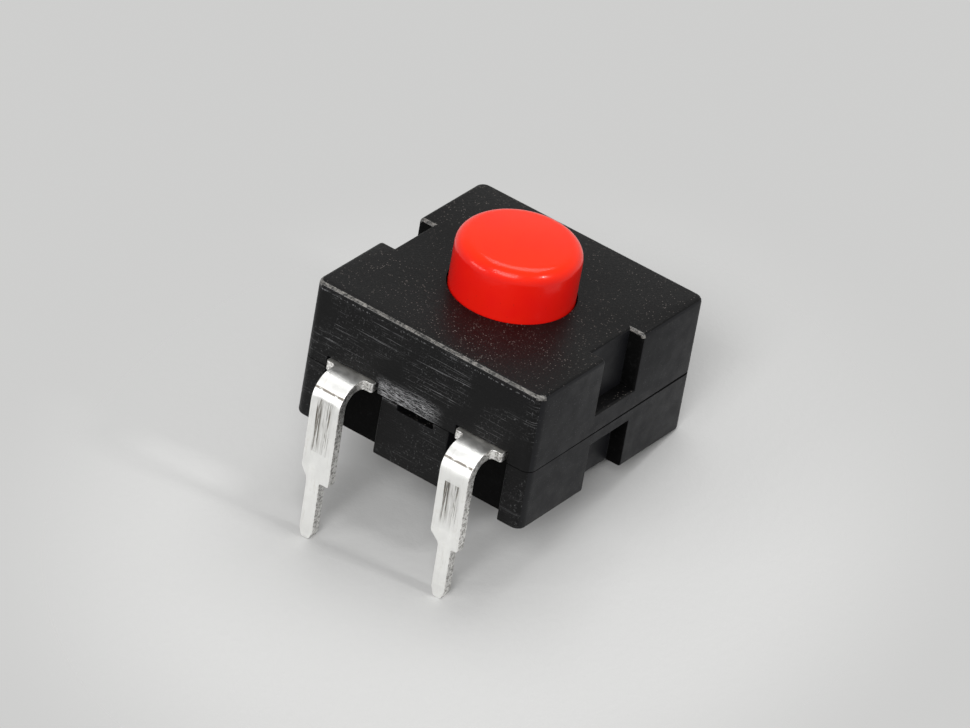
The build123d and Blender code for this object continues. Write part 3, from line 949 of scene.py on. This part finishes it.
def plated_face():
    """Bright tin, darker and rougher towards the housing, with the dark line that the bending die
    left.
    """
    shop = StripShop("tin_face")
    streak = shop.streaks(15.0, 0.6, 3.0)
    blotch = shop.noise(2.4, 3.0, 0.6)
    line = shop.ramp(abs(shop.along - DIE_LINE), 0.07, 0.02) * shop.ramp(blotch, 0.36, 0.50)
    near_housing = shop.ramp(shop.along, 1.25, 2.1)
    dull = shop.ramp(streak, 0.56, 0.70) * 0.30 + shop.ramp(blotch, 0.55, 0.75) * 0.15
    dull = dull + near_housing * 0.40
    tone = shop.blend(dull, colour(0.96, 0.96, 0.94), colour(0.50, 0.46, 0.39))
    tone = shop.blend(line * 0.85, tone, colour(0.10, 0.075, 0.05))
    rough = shop.ramp(blotch, 0.3, 0.7, 0.38, 0.50) + dull * 0.10
    relief = streak * 0.5 + blotch * 0.2 - line * 0.8
    return shop.finish(Base_Color=tone, Metallic=1.0, Roughness=rough,
                       Normal=shop.bump(relief, 0.012))


# %% The coined panels and the sheared edges
def coined_face():
    """The pressed panel: the punch dragged dark streaks along the strip."""
    shop = StripShop("tin_coined")
    drag = shop.streaks(11.0, 0.40, 8.0)
    fine = shop.streaks(30.0, 1.2, 2.0)
    groove = shop.ramp(abs(shop.axis("X", shop.strip)), 0.11, 0.20, 0.35, 1.0)
    fading = shop.ramp(shop.along, -2.75, -1.95)
    dark = shop.ramp(drag, 0.46, 0.56) * groove * fading * 0.85
    dark = dark + shop.ramp(fine, 0.5, 0.65) * fading * 0.15
    tone = shop.blend(dark, colour(0.95, 0.95, 0.93), colour(0.13, 0.11, 0.085))
    return shop.finish(Base_Color=tone, Metallic=1.0,
                       Roughness=shop.ramp(fine, 0.3, 0.7, 0.36, 0.50),
                       Normal=shop.bump(drag * 0.7 + fine * 0.3, 0.03))


def sheared_edge():
    """The cut edge, torn into bright and dark grains."""
    shop = Shop("tin_sheared_edge")
    tear = shop.noise(8.0, 4.0, 0.75)
    pits = shop.noise(3.5, 3.0, 0.6)
    tone = shop.blend(shop.ramp(tear, 0.40, 0.54), colour(0.34, 0.33, 0.31),
                      colour(0.94, 0.93, 0.91))
    return shop.finish(Base_Color=tone, Metallic=1.0, Roughness=shop.ramp(pits, 0.3, 0.7, 0.3, 0.5),
                       Normal=shop.bump(tear * 0.7 + pits * 0.3, 0.05))


tins = {FLAT: plated_face(), SHEARED: sheared_edge(), COINED: coined_face()}
for side, strip in terminals.items():
    for number in sorted(tins):
        strip.data.materials.append(tins[number])
    leave_bench(strip, "housing", "terminal_tin", f"terminal_{side}")

# %% [markdown]
# ## The pieces inside
# Nothing of the latch and the contacts shows while the switch is whole. Their shapes are right in
# the frame already, so they keep them and only get finishes: drawn wire, silver, rolled bronze
# and two moulded acetals.

# %% Inner finishes
def inner_metal(name, tint, low, high, stretch=(1.0, 1.0, 1.0)):
    """A plain metal, between two roughnesses, with a lay that can be stretched."""
    shop = Shop(name)
    lay = shop.noise(6.0, 3.0, 0.6, shop.stretched(*stretch))
    darker = colour(*(v * 0.7 for v in tint))
    tone = shop.blend(shop.ramp(lay, 0.35, 0.7), colour(*tint), darker)
    return shop.finish(Base_Color=tone, Metallic=1.0, Roughness=shop.ramp(lay, 0.3, 0.7, low, high),
                       Normal=shop.bump(lay, 0.006))


def inner_plastic(name, tint):
    """A moulded plastic with a faint cloudiness."""
    shop = Shop(name)
    cloud = shop.noise(2.0, 3.0)
    darker = colour(*(v * 0.85 for v in tint))
    tone = shop.blend(shop.ramp(cloud, 0.35, 0.65), colour(*tint), darker)
    return shop.finish(Base_Color=tone, Roughness=shop.ramp(cloud, 0.3, 0.7, 0.35, 0.5),
                       Normal=shop.bump(cloud, 0.010))


steel = inner_metal("spring_wire", (0.55, 0.55, 0.56), 0.25, 0.4)
silver = inner_metal("contact_silver", (0.86, 0.85, 0.82), 0.25, 0.4)
bronze = inner_metal("rolled_bronze", (0.72, 0.45, 0.22), 0.3, 0.45, (0.2, 4.0, 1.0))
inner = {"rotor": inner_plastic("acetal_natural", (0.80, 0.78, 0.72)),
         "plunger": inner_plastic("acetal_grey", (0.30, 0.31, 0.32)), "contact_bridge": bronze}
inner.update({f"{kind}_contact_{side}": silver
              for kind in ("moving", "fixed") for side in ("left", "right")})
for node, material in inner.items():
    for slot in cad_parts[node].material_slots:
        slot.material = material
print("finished inside:", ", ".join(inner))

# %% [markdown]
# ## The springs' own meshes
# A coil rides on one body and ends at another one, so it would have to shorten as they close. Here
# each coil only gets a mesh of its own; it is not squashed.


def squash_coil(piece):
    """Gives the coil a mesh of its own; it is not shortened."""
    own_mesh(piece)


return_coil.data.materials.append(steel)
contact_coil.data.materials.append(steel)
leave_bench(return_coil, "housing", "spring_steel", "return_spring")
leave_bench(contact_coil, "plunger", "spring_steel", "contact_spring")
squash_coil(return_coil)
squash_coil(contact_coil)

# %% [markdown]
# ## The surface it lies on
# Lying loose, the switch tips onto the points of its two legs and one far corner of the base.
# Three points make a plane, so the floor is laid through them. It is a disc that thins out into
# the plain pale background, so its edge never cuts across a view.

# %% Floor through three touching points
FLOOR_RADIUS, FLOOR_SIDES = 0.024, 96
ROUND_GIVE = 0.3                      # a rounded corner touches this share of its radius inside


def foot_of(low, high):
    """The outer edge of a pin's blunt point, from the box of its terminal."""
    lean = (STRIP_Z - low.z) * math.tan(LEG_LEAN)
    return Vector(((low.x + high.x) / 2, LEG_Y + lean - SHEET / 2, low.z)) * MM


far_corner = Vector((HALF_X - CORNER * ROUND_GIVE, HALF_Y - FOOT_RIM * ROUND_GIVE,
                     FOOT_RIM * ROUND_GIVE)) * MM
feet = [foot_of(left_low, left_high), foot_of(right_low, right_high), far_corner]
floor_up = (feet[1] - feet[0]).cross(feet[2] - feet[0]).normalized()
floor_mid = sum(feet, Vector()) / 3
print("the floor tips by", round(math.degrees(floor_up.angle(Vector((0, 0, 1)))), 1), "degrees")

floor_bm = bmesh.new()
bmesh.ops.create_circle(floor_bm, cap_ends=True, radius=FLOOR_RADIUS, segments=FLOOR_SIDES)
floor = put_in_scene("floor", bpy.data.meshes.new("floor"))
floor_bm.to_mesh(floor.data)
floor_bm.free()
floor.matrix_world = (Matrix.Translation(floor_mid)
                      @ floor_up.to_track_quat("Z", "Y").to_matrix().to_4x4())

# %% Floor finish
FADE = (12.0, 23.0)                   # millimetres from the middle, where the disc thins out


def pale_floor():
    """Matt and pale, with no gloss that would mirror the lamps."""
    shop = Shop("pale_floor")
    tooth = shop.noise(2.2, 3.0, 0.6)
    span = shop.node("ShaderNodeVectorMath", {"operation": "LENGTH"}, {0: shop.mm}, out="Value")
    return shop.finish(Base_Color=colour(0.60, 0.60, 0.595), Roughness=0.9,
                       Specular_IOR_Level=0.0, Alpha=shop.ramp(span, *FADE, 1.0, 0.0),
                       Normal=shop.bump(tooth, 0.02))


floor.data.materials.append(pale_floor())

# %% [markdown]
# ## Light
# A broad key softbox stands in front, a little to the right, and lays the soft light along the
# button's rim. A low card in front on the left opens up the legs and the front face, and a large
# softbox overhead lights the top. One small lamp on the right makes a sharp glint. Area lamps suit
# gloss, because their size and shape show in it. A plain pale world fills the rest.

# %% Softboxes
LAMP_DISTANCE = 0.45


def direction(azimuth, elevation):
    """The way out from the switch, in degrees. Azimuth 0 is in front, 90 on the +X side."""
    a, e = math.radians(azimuth), math.radians(elevation)
    return Vector((math.sin(a) * math.cos(e), -math.cos(a) * math.cos(e), math.sin(e)))


def softbox(name, azimuth, elevation, width, height, power):
    """A rectangular light aimed at the switch."""
    data = bpy.data.lights.new(name, "AREA")
    data.shape, data.size, data.size_y, data.energy = "RECTANGLE", width, height, power
    lamp = put_in_scene(name, data)
    lamp.location = direction(azimuth, elevation) * LAMP_DISTANCE
    lamp.rotation_mode = "QUATERNION"
    lamp.rotation_quaternion = lamp.location.to_track_quat("Z", "Y")
    print(name, "softbox,", power, "W")


softbox("key", 14, 38, 0.30, 0.20, 1.15)
softbox("low", -34, 9, 0.24, 0.12, 0.40)
softbox("overhead", 200, 74, 0.34, 0.20, 0.85)
softbox("glint", 88, 37, 0.04, 0.04, 0.50)

# %% World: a soft fill, and the floor's own colour behind everything
FILL, BACKGROUND = 0.27, 0.62
world = bpy.data.worlds.new("pale_room")
bpy.context.scene.world = world
world.use_nodes = True
links = world.node_tree.links
sky = world.node_tree.nodes["Background"]


def world_node(kind, **settings):
    """Any node of the world, with its settings."""
    node = world.node_tree.nodes.new(kind)
    for name, value in settings.items():
        setattr(node, name, value)
    return node


path = world_node("ShaderNodeLightPath")
seen = path.outputs["Is Camera Ray"]
for ray in ("Is Glossy Ray", "Is Transmission Ray"):
    either = world_node("ShaderNodeMath", operation="MAXIMUM")
    links.new(seen, either.inputs[0])
    links.new(path.outputs[ray], either.inputs[1])
    seen = either.outputs[0]
level = world_node("ShaderNodeMapRange")
links.new(seen, level.inputs["Value"])
level.inputs["To Min"].default_value = FILL
level.inputs["To Max"].default_value = BACKGROUND
links.new(level.outputs["Result"], sky.inputs["Strength"])
sky.inputs["Color"].default_value = colour(1.0, 1.0, 0.99)

# %% [markdown]
# ## Camera
# The camera is a long lens a third of a metre away, so the housing's edges stay nearly parallel,
# as in a close product view. It is turned a little about its own axis, because the switch lies
# tilted.

# %% Camera
VIEW_AZIMUTH, VIEW_ELEVATION = 30.81, 32.57
VIEW_ROLL = math.radians(10.24)
VIEW_DISTANCE = 0.3434
LENS, SENSOR = 296.9, 36.0
AIM = Vector((-1.13, 0.80, 1.91)) * MM

back = direction(VIEW_AZIMUTH, VIEW_ELEVATION)
across = Vector((0, 0, 1)).cross(back).normalized()
upward = back.cross(across)
right = across * math.cos(VIEW_ROLL) + upward * math.sin(VIEW_ROLL)
above = upward * math.cos(VIEW_ROLL) - across * math.sin(VIEW_ROLL)
lens = bpy.data.cameras.new("camera")
lens.lens, lens.sensor_width = LENS, SENSOR
lens.clip_start, lens.clip_end = 0.05, 5.0
camera = put_in_scene("camera", lens)
camera.matrix_world = Matrix.Translation(AIM + back * VIEW_DISTANCE) @ Matrix(
    (right, above, back)).transposed().to_4x4()
bpy.context.scene.camera = camera
bpy.context.scene.view_settings.view_transform = "Standard"
